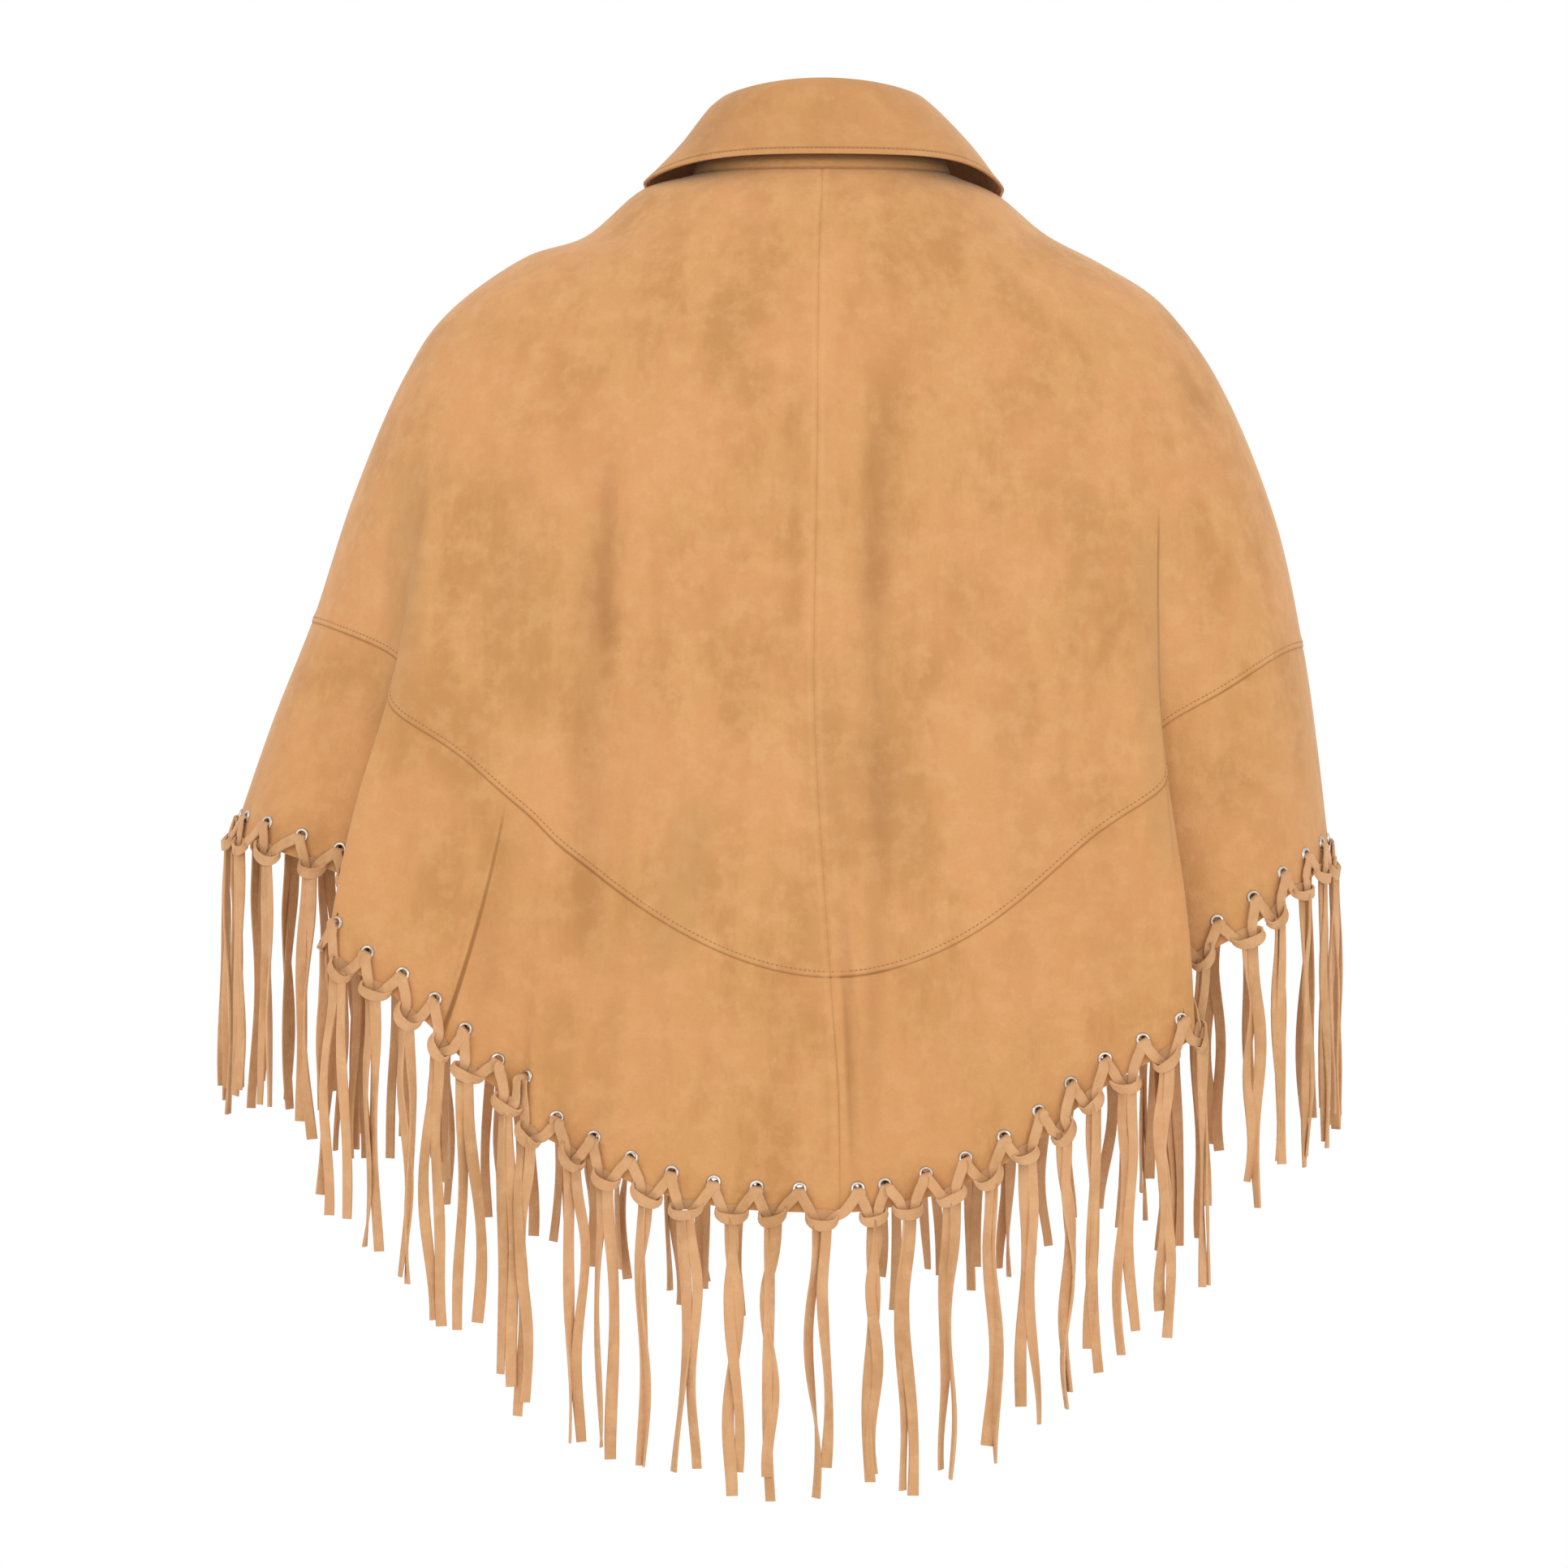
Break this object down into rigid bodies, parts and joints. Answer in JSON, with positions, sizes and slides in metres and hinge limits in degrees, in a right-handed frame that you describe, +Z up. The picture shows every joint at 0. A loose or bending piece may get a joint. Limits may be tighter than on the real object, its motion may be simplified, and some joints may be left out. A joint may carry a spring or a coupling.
{
  "type": "suede fringe cape",
  "caption": "Hip length suede cape with a shirt collar, open front, bordered hem and a laced, knotted fringe, kept in its worn hollow form.",
  "frame": {"origin": "middle of the neck opening, level with the shoulder points beside the neck, where the shoulders carry the cape", "axes": "+Z up, +Y towards the wearer's front, so -Y is the back that the picture shows, +X to the wearer's right"},
  "size_m": [0.6663, 0.2987, 0.8262],
  "materials": {
    "body_suede": "tan suede with a short soft nap",
    "border_suede": "tan suede with a short soft nap",
    "collar_suede": "tan suede with a short soft nap",
    "lace_suede": "cut suede lace, a little paler at the cut edges"
  },
  "bodies": {
    "root": {"front_left": "body_suede", "back_left": "body_suede", "back_right": "body_suede", "front_right": "body_suede", "border_front_left": "border_suede", "border_back_left": "border_suede", "border_back_right": "border_suede", "border_front_right": "border_suede", "collar_stand": "collar_suede", "collar_fall": "collar_suede", "fringe_front_left": "lace_suede", "fringe_back_left": "lace_suede", "fringe_back_right": "lace_suede", "fringe_front_right": "lace_suede"}
  },
  "joints": []
}
